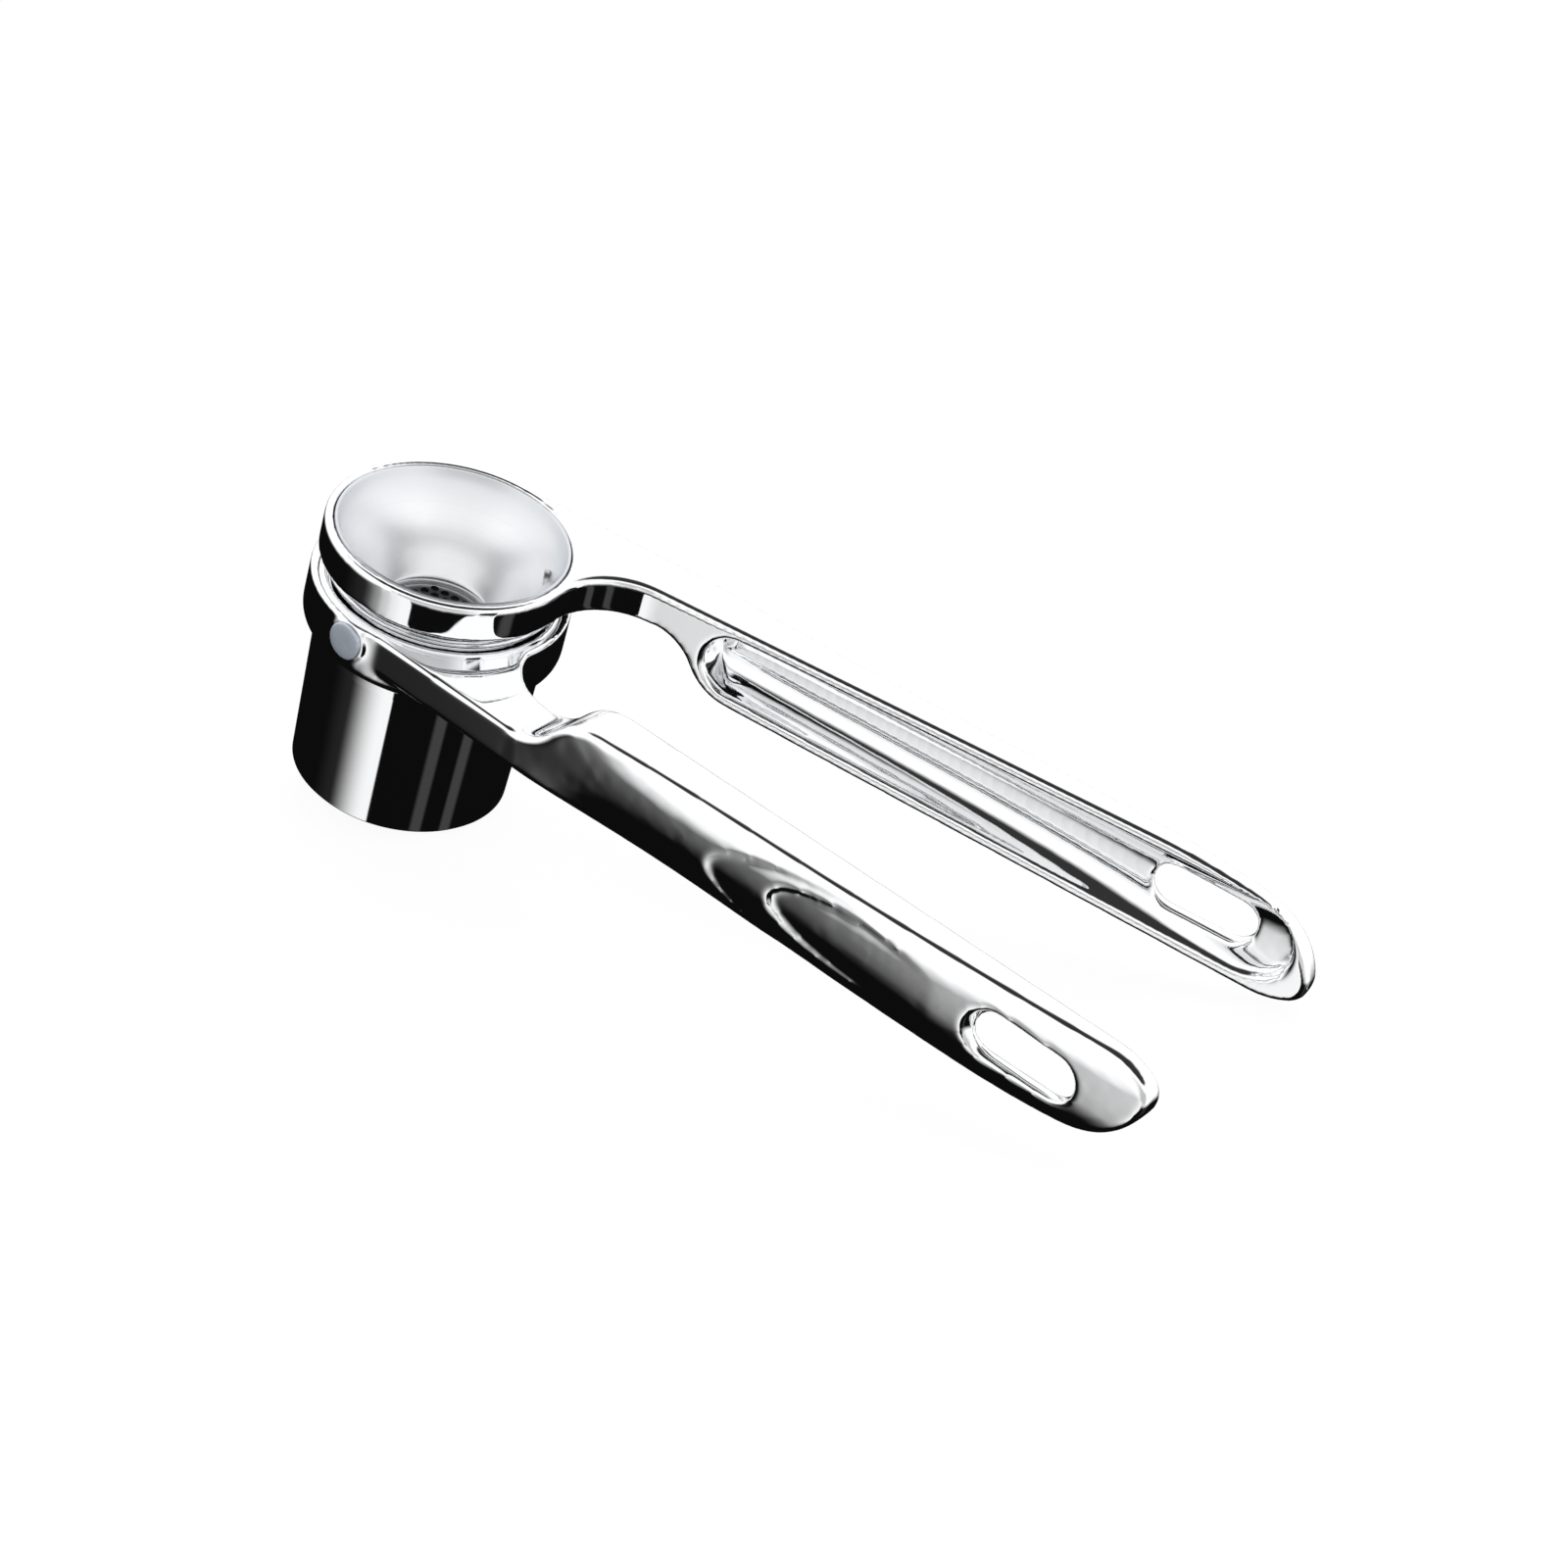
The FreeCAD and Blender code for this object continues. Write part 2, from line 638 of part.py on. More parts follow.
def drive_sleeve():
    cone_low = STRAINER_Z + 5.6
    body = turned([
        (CHAMBER_R, SLEEVE_FOOT), (SLEEVE_R, SLEEVE_FOOT), (SLEEVE_R, BARREL_TOP + 0.1),
        (HUB_R, BARREL_TOP + 0.1), (HUB_R, RING_Z), (FLANGE_R, RING_Z), (FLANGE_R, SEAT_Z),
        (FLANGE_R - 1.4, SEAT_Z), (STRAINER_R + 0.1, cone_low), (STRAINER_R + 0.1, STRAINER_Z),
        (CHAMBER_R, STRAINER_Z),
    ])
    top = CROSS_Z + CLOSE_LIFT
    for side in (0, 180):
        body = body.cut(turn(straight_slot(top), OPEN_REST + side))
    for side in (-90, 90):
        body = body.cut(stop_groove(side))
    for side in SET_SCREW_ANGLES:
        body = body.cut(spoke(SET_SCREW_R, FLANGE_R - 0.9, HEAD_R, SET_SCREW_Z, side + OPEN_REST))
    angle = BOWL_SCREW_ANGLE + OPEN_REST
    return body.cut(spoke(BOWL_SCREW_R, CHAMBER_R, HEAD_R, BOWL_SCREW_Z, angle))


def straight_slot(top):
    """Slot along the sleeve for one end of the cross pin, open at the foot."""
    slot = Part.makeBox(20, 2 * PIN_SLOT_R, top - SLEEVE_FOOT + 2, V(5, -PIN_SLOT_R, SLEEVE_FOOT - 2))
    return slot.fuse(spoke(PIN_SLOT_R, 5, 25, top, 0))


def stop_groove(side):
    """Part-turn groove for one retaining pin; its ends stop the arm's swing."""
    half = RETAIN_R + CAM_GAP
    spread = math.degrees(half / (SLEEVE_R - RETAIN_BITE))
    start = side - (OPEN_FULL - OPEN_REST)
    sweep = OPEN_FULL
    band = face([
        (SLEEVE_R - RETAIN_BITE, 0, RETAIN_Z - half), (SLEEVE_R + 2, 0, RETAIN_Z - half),
        (SLEEVE_R + 2, 0, RETAIN_Z + half), (SLEEVE_R - RETAIN_BITE, 0, RETAIN_Z + half),
    ]).revolve(ORIGIN, AXIS_Z, sweep + 2 * spread)
    return turn(band, start - spread)


def set_screws():
    screws = []
    for side in SET_SCREW_ANGLES:
        body = spoke(SET_SCREW_R, FLANGE_R - 0.9, HEAD_R - 0.2, SET_SCREW_Z, side + OPEN_REST)
        socket = spoke(SET_SCREW_R * 0.5, HEAD_R - 1.2, HEAD_R, SET_SCREW_Z, side + OPEN_REST)
        screws.append(body.cut(socket))
    return Part.makeCompound(screws)


def bowl():
    rim_z = TOP_Z - 0.1
    seat = SEAT_Z + BOWL_SEAL_T
    base = STRAINER_Z + STRAINER_T
    inner = [
        (BOWL_R - 0.5, rim_z - 0.15), (BOWL_R - 1.4, rim_z - 1.9), (BOWL_R - 3.05, rim_z - 4.4),
        (BOWL_R - 5.4, rim_z - 8.3), (BOWL_R - 7.6, rim_z - 12.3), (THROAT_R + 0.8, base + 1.2),
    ]
    spline = Part.BSplineCurve()
    spline.interpolate([V(r, 0, z) for r, z in inner])
    lip = arc((inner[-1][0], 0, inner[-1][1]), (THROAT_R + 0.22, 0, base + 0.8),
              (THROAT_R, 0, base + 0.4))
    corners = [
        (THROAT_R, base + 0.4), (THROAT_R, base), (STRAINER_R - 0.1, base),
        (STRAINER_R - 0.1, base + 4.3), (FLANGE_R - 1.65, SEAT_Z), (FLANGE_R - 1.6, seat),
        (BOWL_R, seat), (BOWL_R, rim_z - 0.4), (BOWL_R - 0.4, rim_z), inner[0],
    ]
    edges = [spline.toShape(), lip]
    for a, b in zip(corners, corners[1:]):
        edges.append(line((a[0], 0, a[1]), (b[0], 0, b[1])))
    body = outline_face(edges).revolve(ORIGIN, AXIS_Z, 360)
    angle = BOWL_SCREW_ANGLE + OPEN_REST
    body = body.cut(spoke(BOWL_SCREW_R, THROAT_R, HEAD_R, BOWL_SCREW_Z, angle))
    return body.cut(spoke(BOWL_HEAD_R, THROAT_R, BOWL_HEAD_SEAT, BOWL_SCREW_Z, angle))


def bowl_seal():
    return tube(FLANGE_R - 1.3, HEAD_R - BOWL_RIM_WALL - 0.2, SEAT_Z, SEAT_Z + BOWL_SEAL_T)


def bowl_screw():
    angle = BOWL_SCREW_ANGLE + OPEN_REST
    shank = spoke(BOWL_SCREW_R, BOWL_HEAD_SEAT - 0.5, BOWL_SCREW_END, BOWL_SCREW_Z, angle)
    head = spoke(BOWL_HEAD_R, BOWL_HEAD_SEAT - BOWL_HEAD_T, BOWL_HEAD_SEAT, BOWL_SCREW_Z, angle)
    return head.fuse(shank)


def hex_spots(rings, pitch):
    """Centres of a honeycomb pattern, the middle one first."""
    spots = []
    for q in range(-rings, rings + 1):
        for r in range(-rings, rings + 1):
            if abs(q + r) <= rings:
                spots.append((pitch * (q + r / 2), pitch * r * math.sqrt(3) / 2))
    return spots


def pattern(radius, z0, z1):
    rods = []
    for x, y in hex_spots(STRAINER_RINGS, STRAINER_PITCH):
        rods.append(Part.makeCylinder(radius, z1 - z0, V(x, y, z0)))
    return turn(Part.makeCompound(rods), OPEN_REST)


def strainer():
    disc = cylinder(STRAINER_R, STRAINER_Z, STRAINER_Z + STRAINER_T)
    return disc.cut(pattern(STRAINER_HOLE_R, STRAINER_Z - 1, STRAINER_Z + STRAINER_T + 1))


# ---------------------------------------------------------------- sliding plunger body
def plunger():
    top = FACE_TOP - FACE_T
    foot = CROSS_Z - CROSS_R - 0.9
    seal_z = FACE_TOP - SEAL_DROP
    body = turned([
        (PLUNGER_R - PLUNGER_SKIRT_WALL, foot), (PLUNGER_R, foot), (PLUNGER_R, seal_z - SEAL_R),
        (PLUNGER_R - 2 * SEAL_R, seal_z - SEAL_R), (PLUNGER_R - 2 * SEAL_R, seal_z + SEAL_R),
        (PLUNGER_R, seal_z + SEAL_R), (PLUNGER_R, top), (0, top), (0, top - PLUNGER_TOP_T),
        (PLUNGER_R - PLUNGER_SKIRT_WALL, top - PLUNGER_TOP_T),
    ])
    body = body.cut(spoke(CROSS_R, -20, 20, CROSS_Z, OPEN_REST))
    body = body.cut(cylinder(SCREW_R, top - PLUNGER_TOP_T - 1, top + 1))
    return body


def plunger_seal():
    return Part.makeTorus(PLUNGER_R - SEAL_R, SEAL_R, V(0, 0, FACE_TOP - SEAL_DROP))


def plunger_face():
    disc = cylinder(PLUNGER_R - 0.4, FACE_TOP - FACE_T, FACE_TOP)
    disc = disc.cut(cylinder(SCREW_R, FACE_TOP - FACE_T, FACE_TOP - 0.4))
    return disc.fuse(pattern(NUB_R, FACE_TOP - 0.1, FACE_TOP + NUB_H).Solids)


def face_screw():
    under = FACE_TOP - FACE_T - PLUNGER_TOP_T
    shank = cylinder(SCREW_R, under, FACE_TOP - 0.4)
    head = cylinder(SCREW_R * 1.9, under - 1.8, under)
    socket = cylinder(SCREW_R * 0.8, under - 1.8, under - 0.7)
    return head.fuse(shank).cut(socket)


def cross_pin():
    return spoke(CROSS_R, -CROSS_END, CROSS_END, CROSS_Z, OPEN_REST)


NODES = {
    "lower_arm": lower_arm,
    "barrel": barrel,
    "barrel_cap": barrel_cap,
    "cap_seal": cap_seal,
    "foot_washer": foot_washer,
    "bearing_bush": bearing_bush,
    "thrust_washer": thrust_washer,
    "retaining_pins": retaining_pins,
    "upper_arm": upper_arm,
    "drive_sleeve": drive_sleeve,
    "set_screws": set_screws,
    "bowl": bowl,
    "bowl_seal": bowl_seal,
    "bowl_screw": bowl_screw,
    "strainer": strainer,
    "plunger": plunger,
    "plunger_seal": plunger_seal,
    "plunger_face": plunger_face,
    "face_screw": face_screw,
    "cross_pin": cross_pin,
}


if __name__ == "__main__":
    os.makedirs("parts", exist_ok=True)
    for name, make in NODES.items():
        shape = make()
        box = shape.BoundBox
        print(name, len(shape.Solids), round(shape.Volume, 1), shape.isValid(),
              [round(v, 2) for v in (box.XMin, box.YMin, box.ZMin, box.XMax, box.YMax, box.ZMax)])
        shape.exportStep("parts/%s.step" % name)
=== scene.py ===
"""Looks for the hand press: polished arms and barrel, satin funnel bowl and steel inner parts."""

import json
import math

import bpy
from mathutils import Matrix, Vector


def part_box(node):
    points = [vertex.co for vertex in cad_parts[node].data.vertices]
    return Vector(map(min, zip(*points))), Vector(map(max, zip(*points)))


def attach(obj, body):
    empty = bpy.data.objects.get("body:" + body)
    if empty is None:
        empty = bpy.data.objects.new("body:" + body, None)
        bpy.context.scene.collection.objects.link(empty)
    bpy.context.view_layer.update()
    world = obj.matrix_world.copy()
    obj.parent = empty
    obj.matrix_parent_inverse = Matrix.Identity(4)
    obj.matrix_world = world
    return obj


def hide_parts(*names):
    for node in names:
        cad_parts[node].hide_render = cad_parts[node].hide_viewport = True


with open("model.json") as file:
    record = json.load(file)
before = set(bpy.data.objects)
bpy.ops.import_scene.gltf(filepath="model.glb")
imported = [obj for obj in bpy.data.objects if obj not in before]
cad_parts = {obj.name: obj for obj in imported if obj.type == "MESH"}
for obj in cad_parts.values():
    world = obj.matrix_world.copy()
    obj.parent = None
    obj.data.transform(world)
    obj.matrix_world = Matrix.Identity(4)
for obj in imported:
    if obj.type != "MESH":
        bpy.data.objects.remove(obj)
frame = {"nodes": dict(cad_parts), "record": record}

bl_info = {
    "name": "Garlic Press Finishing",
    "version": (1, 0, 0),
    "blender": (4, 5, 0),
    "location": "3D Viewport > Sidebar > Press",
    "description": "Models and finishes the visible pieces of a hand press around its CAD frame",
    "category": "Object",
}

MM = 0.001

# places of the colour sockets on a Mix node
MIX_FACTOR = 0
MIX_FIRST = 6
MIX_SECOND = 7
MIX_COLOUR_OUT = 2

RING_SHADE = 0.95
WHITE = (1.0, 1.0, 1.0, 1.0)

# the camera's own axes
CAMERA_RIGHT = (0.7478, 0.6211, 0.2351)
CAMERA_BACK = (0.4049, -0.7070, 0.5799)
SENSOR_WIDTH = 36.0


# ---------------------------------------------------------------- shader writing
class Value:
    """One socket in a node tree that takes part in Python arithmetic."""

    def __init__(self, board, socket):
        self.board = board
        self.socket = socket

    def _math(self, operation, *values):
        return self.board.node("ShaderNodeMath", {"operation": operation}, values)

    def __add__(self, other):
        return self._math("ADD", self, other)

    def __radd__(self, other):
        return self._math("ADD", other, self)

    def __sub__(self, other):
        return self._math("SUBTRACT", self, other)

    def __rsub__(self, other):
        return self._math("SUBTRACT", other, self)

    def __mul__(self, other):
        return self._math("MULTIPLY", self, other)

    def __rmul__(self, other):
        return self._math("MULTIPLY", other, self)

    def arcsine(self):
        return self._math("ARCSINE", self)

    def arctangent(self, other):
        return self._math("ARCTAN2", self, other)

    def root(self):
        return self._math("SQRT", self)

    def larger(self, other):
        return self._math("MAXIMUM", self, other)

    def fade(self, start, end):
        """0 at start and 1 at end, eased between them."""
        settings = {"interpolation_type": "SMOOTHSTEP", "data_type": "FLOAT"}
        if start < end:
            limits = {"Value": self, "From Min": start, "From Max": end}
            return self.board.node("ShaderNodeMapRange", settings, limits)
        return 1 - self.fade(end, start)


class Board:
    """Adds nodes to one tree."""

    def __init__(self, tree):
        self.tree = tree
        tree.nodes.clear()

    def node(self, kind, settings=None, inputs=(), output=0):
        """One node: its settings first, then the values or links of its inputs. Returns one output."""
        made = self.tree.nodes.new(kind)
        for name, setting in (settings or {}).items():
            setattr(made, name, setting)
        pairs = inputs.items() if isinstance(inputs, dict) else enumerate(inputs)
        for name, value in pairs:
            self.feed(made.inputs[name], value)
        if not made.outputs:
            return made
        return Value(self, made.outputs[output])

    def feed(self, socket, value):
        if isinstance(value, Value):
            self.tree.links.new(value.socket, socket)
        else:
            socket.default_value = value

    def axes(self, vector):
        """The three numbers of a vector."""
        split = self.node("ShaderNodeSeparateXYZ", inputs=[vector]).socket.node
        return [Value(self, out) for out in split.outputs]

    def place(self):
        """Object coordinates, in metres in the row frame."""
        return self.node("ShaderNodeTexCoord", output="Object")

    def noise(self, vector, scale, detail=2.0, rough=0.5):
        inputs = {"Vector": vector, "Scale": scale, "Detail": detail, "Roughness": rough}
        return self.node("ShaderNodeTexNoise", inputs=inputs)

    def stretched(self, vector, x, y, z):
        settings = {"operation": "MULTIPLY"}
        return self.node("ShaderNodeVectorMath", settings, [vector, (x, y, z)])

    def bump(self, height, strength, distance):
        inputs = {"Height": height, "Strength": strength, "Distance": distance}
        return self.node("ShaderNodeBump", inputs=inputs, output="Normal")

    def blend_colour(self, amount, first, second):
        colours = {MIX_FACTOR: amount, MIX_FIRST: first, MIX_SECOND: second}
        return self.node("ShaderNodeMix", {"data_type": "RGBA"}, colours, MIX_COLOUR_OUT)


def new_material(name):
    material = bpy.data.materials.new(name)
    material.use_nodes = True
    board = Board(material.node_tree)
    return material, board


def close_material(board, **inputs):
    """Principled surface at the end of a material."""
    named = {name.replace("_", " "): value for name, value in inputs.items()}
    surface = board.node("ShaderNodeBsdfPrincipled", inputs=named)
    board.node("ShaderNodeOutputMaterial", inputs={"Surface": surface})


def polished_chrome(name, tint, haze, grain):
    """Mirror chrome with faint polishing haze and hairline wipe marks."""
    material, board = new_material(name)
    place = board.place()
    cloud = board.noise(place, 38.0, 3.0)
    wipes = board.noise(board.stretched(place, 1.0, 9.0, 9.0), 420.0, 2.0, 0.6)
    marks = wipes.fade(0.6, 0.85)
    colour = board.blend_colour(cloud.fade(0.35, 0.7), (*tint, 1), tuple(c * 0.985 for c in tint) + (1,))
    rough = haze + cloud.fade(0.4, 0.75) * (haze * 0.25) + marks * grain
    close_material(board, Base_Color=colour, Metallic=1.0, Roughness=rough,
                   Normal=board.bump(cloud, 0.01, 0.0002))
    return material


def satin_steel(name, tint, rough, rings, depth, painted_shade_factor=0.93, painted_shade_heights=(0.0, 1.0)):
    """Lathe-turned satin steel: fine rings about the chamber axis, with painted shade: the colour darkens
    from the first of two heights to the second.
    """
    material, board = new_material(name)
    place = board.place()
    x, y, z = board.axes(place)
    radius = (x * x + y * y).root()
    ring_place = board.node("ShaderNodeCombineXYZ", inputs=[radius * rings, z * rings, 0.0])
    lines = board.noise(ring_place, 1.0, 4.0, 0.7)
    cloud = board.noise(place, 60.0, 2.0)
    # painted shade: a darker tint, shifted bluish, that the colour fades into between the two heights
    painted_shade_tint = tuple(c * painted_shade_factor for c in tint)
    body_and_painted_shade = board.blend_colour(z.fade(*painted_shade_heights), (*tint, 1), (painted_shade_tint[0] * 0.94, painted_shade_tint[1] * 0.97, painted_shade_tint[2], 1))
    ring_low = tuple(c * RING_SHADE for c in tint) + (1,)
    ring_high = tuple(c * RING_SHADE for c in painted_shade_tint) + (1,)
    # the ring lines darken with the same painted shade between the two heights
    ring_lines_and_painted_shade = board.blend_colour(z.fade(*painted_shade_heights), ring_low, ring_high)
    colour = board.blend_colour(lines.fade(0.3, 0.7), body_and_painted_shade, ring_lines_and_painted_shade)
    close_material(board, Base_Color=colour, Metallic=1.0,
                   Roughness=rough + lines.fade(0.2, 0.8) * 0.06 + cloud.fade(0.4, 0.7) * 0.03,
                   Normal=board.bump(lines, depth, 0.0001))
    return material


def black_moulding(name, tint, rough):
    """Dark moulded plastic or rubber with a fine spark-etched grain."""
    material, board = new_material(name)
    place = board.place()
    grain = board.noise(place, 2600.0, 2.0)
    cloud = board.noise(place, 90.0, 2.0)
    colour = board.blend_colour(cloud, (*tint, 1), tuple(c * 1.8 for c in tint) + (1,))
    close_material(board, Base_Color=colour, Metallic=0.0, Roughness=rough + grain * 0.12,
                   Normal=board.bump(grain, 0.12, 0.00008))
    return material


def brushed_disc(name, tint, height):
    """Satin pin head: fine straight brushing crossed by fainter strokes."""
    material, board = new_material(name)
    place = board.place()
    strokes = board.noise(board.stretched(place, 900.0, 1.0, 9000.0), 1.0, 3.0, 0.7)
    cross = board.noise(board.stretched(place, 7000.0, 1.0, 700.0), 1.0, 2.0, 0.6)
    marks = strokes * 0.7 + cross * 0.3
    colour = board.blend_colour(marks.fade(0.35, 0.65), (*tint, 1), tuple(c * 0.82 for c in tint) + (1,))
    close_material(board, Base_Color=colour, Metallic=0.85, Roughness=0.42 + marks.fade(0.3, 0.7) * 0.12,
                   Normal=board.bump(marks, 0.18, 0.0001))
    return material


# ---------------------------------------------------------------- stage
def direction_angles(board):
    """Height above the horizon and bearing of a world direction, in degrees."""
    x, y, z = board.axes(board.node("ShaderNodeTexCoord", output="Generated"))
    height = z.arcsine() * math.degrees(1)
    bearing = y.arctangent(x) * math.degrees(1)
    return height, bearing


def band(value, start, full, last, end):
    """1 between full and last, fading to 0 at start and end."""
    return value.fade(start, full) * value.fade(end, last)


def build_world(settings):
    """A light tent: white at the sides, dark overhead and below, one tall soft strip low at the front."""
    world = bpy.data.worlds.new("press_tent")
    bpy.context.scene.world = world
    world.use_nodes = True
    board = Board(world.node_tree)
    height, bearing = direction_angles(board)
    sky = height.fade(-29.0, -8.0)
    card = band(bearing, -100.0, -80.0, -40.0, -10.0) * band(height, -20.0, -5.0, 12.0, 30.0)
    zenith = height.fade(46.0, 60.0)
    front = band(bearing, -124.0, -82.0, -76.5, -74.5) * band(height, -62.0, -44.0, -14.0, -4.0)
    slits = band(bearing, -30.0, -25.0, -18.0, -14.0) + band(bearing, 4.0, 8.0, 15.0, 20.0)
    slits = slits * band(height, -60.0, -45.0, -20.0, -10.0)
    shade = band(bearing, -150.0, -122.0, -100.0, -90.0) * band(height, -48.0, -38.0, -20.0, -10.0)
    low = 0.004 + shade * 0.014 + front * 1.0 + slits * 0.05
    glow = sky * (1 - zenith * 0.97) * (1 - card * 0.5) * settings.tent_light
    glow = glow.larger(low)
    camera_ray = board.node("ShaderNodeLightPath", output="Is Camera Ray")
    diffuse_ray = board.node("ShaderNodeLightPath", output="Is Diffuse Ray")
    strength = glow * (1 - camera_ray) + camera_ray * 1.0 + diffuse_ray * 0.15
    background = board.node("ShaderNodeBackground", inputs={"Color": WHITE, "Strength": strength})
    board.node("ShaderNodeOutputWorld", inputs={"Surface": background})


def build_floor(settings):
    """Pale sheet under the tool, which rests on the barrel's rim and the ends of the handles."""
    bpy.ops.object.select_all(action="DESELECT")
    bpy.ops.mesh.primitive_plane_add(size=6.0, location=(0, 0, 0))
    floor = bpy.context.object
    floor.name = "pale_floor"
    floor.rotation_euler = (math.radians(settings.floor_tilt_x), math.radians(settings.floor_tilt_y), 0)
    floor.location = (0, 0, settings.floor_drop)
    bpy.ops.object.transform_apply(location=True, rotation=True, scale=True)
    material, board = new_material("pale_paper")
    fibre = board.noise(board.place(), 300.0, 3.0)
    tone = settings.floor_tone
    paper = board.node("ShaderNodeBsdfDiffuse", inputs={"Color": (tone, tone, tone, 1.0)})
    glow = board.node("ShaderNodeEmission", inputs={"Color": WHITE, "Strength": fibre * 0.004 + 1.0})
    mixed = board.node("ShaderNodeMixShader", inputs=[settings.floor_glow, paper, glow])
    board.node("ShaderNodeOutputMaterial", inputs={"Surface": mixed})
    floor.data.materials.append(material)
    floor.visible_glossy = False
    floor.visible_diffuse = False


def build_lights(settings):
    for name, spot, aim, size, power in (
        ("tent_top", (-0.25, 0.35, 0.75), (0.04, 0, 0.03), 0.9, settings.top_power),
        ("tent_side", (0.5, -0.55, 0.6), (0.04, 0, 0.03), 0.7, settings.side_power),
    ):
        lamp = bpy.data.lights.new(name, "AREA")
        lamp.shape = "DISK"
        lamp.size = size
        lamp.energy = power
        piece = bpy.data.objects.new(name, lamp)
        bpy.context.scene.collection.objects.link(piece)
        piece.location = spot
        piece.rotation_euler = (Vector(aim) - Vector(spot)).to_track_quat("-Z", "Y").to_euler()
        piece.visible_glossy = False
        piece.visible_camera = False


def build_camera(settings):
    right = Vector(CAMERA_RIGHT).normalized()
    back = Vector(CAMERA_BACK).normalized()
    up = back.cross(right).normalized()
    right = up.cross(back)
    lens = bpy.data.cameras.new("press_camera")
    lens.lens = settings.lens
    lens.sensor_width = SENSOR_WIDTH
    lens.clip_start = 0.01
    lens.clip_end = 20.0
    camera = bpy.data.objects.new("press_camera", lens)
    bpy.context.scene.collection.objects.link(camera)
    turn = Matrix((right, up, back)).transposed().to_4x4()
    camera.matrix_world = Matrix.Translation(Vector(settings.camera_place)) @ turn
    bpy.context.scene.camera = camera


# ---------------------------------------------------------------- modelling
def clear_selection():
    if bpy.context.object and bpy.context.object.mode != "OBJECT":
        bpy.ops.object.mode_set(mode="OBJECT")
    bpy.ops.object.select_all(action="DESELECT")


def work_on(piece):
    clear_selection()
    piece.select_set(True)
    bpy.context.view_layer.objects.active = piece


def apply_modifier(piece, kind, **settings):
    work_on(piece)
    modifier = piece.modifiers.new(kind.lower(), kind)
    for name, setting in settings.items():
        setattr(modifier, name, setting)
    bpy.ops.object.modifier_apply(modifier=modifier.name)


def soft_copy(node, name, grid, passes):
    """A casting's own shape with every edge eased, as polishing leaves it."""
    piece = frame["nodes"][node].copy()
    piece.data = piece.data.copy()
    piece.name = name
    piece.data.name = name
    for key in list(piece.keys()):
        if key.startswith("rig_"):
            del piece[key]
    bpy.context.scene.collection.objects.link(piece)
    piece.parent = None
    work_on(piece)
    bpy.ops.object.mode_set(mode="EDIT")
    bpy.ops.mesh.select_all(action="SELECT")
    bpy.ops.mesh.remove_doubles(threshold=0.000002)
    bpy.ops.mesh.normals_make_consistent(inside=False)
    bpy.ops.mesh.customdata_custom_splitnormals_clear()
    bpy.ops.object.mode_set(mode="OBJECT")
    apply_modifier(piece, "REMESH", mode="VOXEL", voxel_size=grid, adaptivity=0.0)
    apply_modifier(piece, "SMOOTH", factor=0.5, iterations=passes)
    bpy.ops.object.shade_smooth()
    return piece


def finish_piece(piece, body, slot, material, *nodes):
    """Material, body and the CAD parts that a piece stands for."""
    piece.data.materials.clear()
    piece.data.materials.append(material)
    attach(piece, body)
    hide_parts(*nodes)


def turned(name, profile, steps):
    """A closed ring turned about Z from (radius, height) points in millimetres, first point outermost."""
    clear_selection()
    radius, height = profile[0]
    bpy.ops.mesh.primitive_circle_add(vertices=steps, radius=radius * MM, location=(0, 0, height * MM))
    piece = bpy.context.object
    piece.name = name
    piece.data.name = name
    bpy.ops.object.transform_apply(location=True, rotation=True, scale=True)
    bpy.ops.object.mode_set(mode="EDIT")
    bpy.ops.mesh.select_all(action="SELECT")
    for next_radius, next_height in profile[1:] + profile[:1]:
        rise = (0, 0, (next_height - height) * MM)
        bpy.ops.mesh.extrude_region_move(TRANSFORM_OT_translate={"value": rise})
        share = next_radius / radius
        bpy.ops.transform.resize(value=(share, share, 1), center_override=(0, 0, next_height * MM))
        radius, height = next_radius, next_height
    bpy.ops.mesh.select_all(action="SELECT")
    bpy.ops.mesh.remove_doubles(threshold=0.000003)
    bpy.ops.mesh.normals_make_consistent(inside=False)
    bpy.ops.object.mode_set(mode="OBJECT")
    return piece


def curve_points(points, count):
    """A smooth run through a few (radius, height) points."""
    run = []
    ends = [points[0], *points, points[-1]]
    for index in range(len(points) - 1):
        a, b, c, d = ends[index:index + 4]
        for step in range(count):
            t = step / count
            run.append(tuple(
                0.5 * (2 * b[k] + (c[k] - a[k]) * t + (2 * a[k] - 5 * b[k] + 4 * c[k] - d[k]) * t * t
                       + (3 * b[k] - a[k] - 3 * c[k] + d[k]) * t ** 3) for k in (0, 1)))
    run.append(points[-1])
    return run


# ---------------------------------------------------------------- settings
class PressStageSettings(bpy.types.PropertyGroup):
    """Camera, floor and light."""

    lens: bpy.props.FloatProperty(name="Lens", description="Focal length in millimetres", default=101.25)
    camera_place: bpy.props.FloatVectorProperty(
        name="Camera place", description="Where the camera stands", default=(0.3585, -0.4965, 0.4532),
        subtype="XYZ", unit="LENGTH")
    floor_tilt_x: bpy.props.FloatProperty(
        name="Floor tilt X", description="Floor's turn about X, degrees",
        default=0.0)
    floor_tilt_y: bpy.props.FloatProperty(
        name="Floor tilt Y", description="Floor's turn about Y, degrees",
        default=-13.0)
    floor_drop: bpy.props.FloatProperty(
        name="Floor height", description="Height of the floor under the chamber axis",
        default=-0.0046, unit="LENGTH")
    floor_tone: bpy.props.FloatProperty(
        name="Floor tone", description="Lightness of the floor",
        default=0.95)
    floor_glow: bpy.props.FloatProperty(
        name="Floor glow", description="How far the floor is kept clear of shadow",
        default=0.93, subtype="FACTOR")
    tent_light: bpy.props.FloatProperty(
        name="Tent light", description="Brightness of the tent",
        default=1.15)
    top_power: bpy.props.FloatProperty(
        name="Top light", description="Power of the top light, watts",
        default=4.0)
    side_power: bpy.props.FloatProperty(
        name="Side light", description="Power of the side light, watts",
        default=2.0)


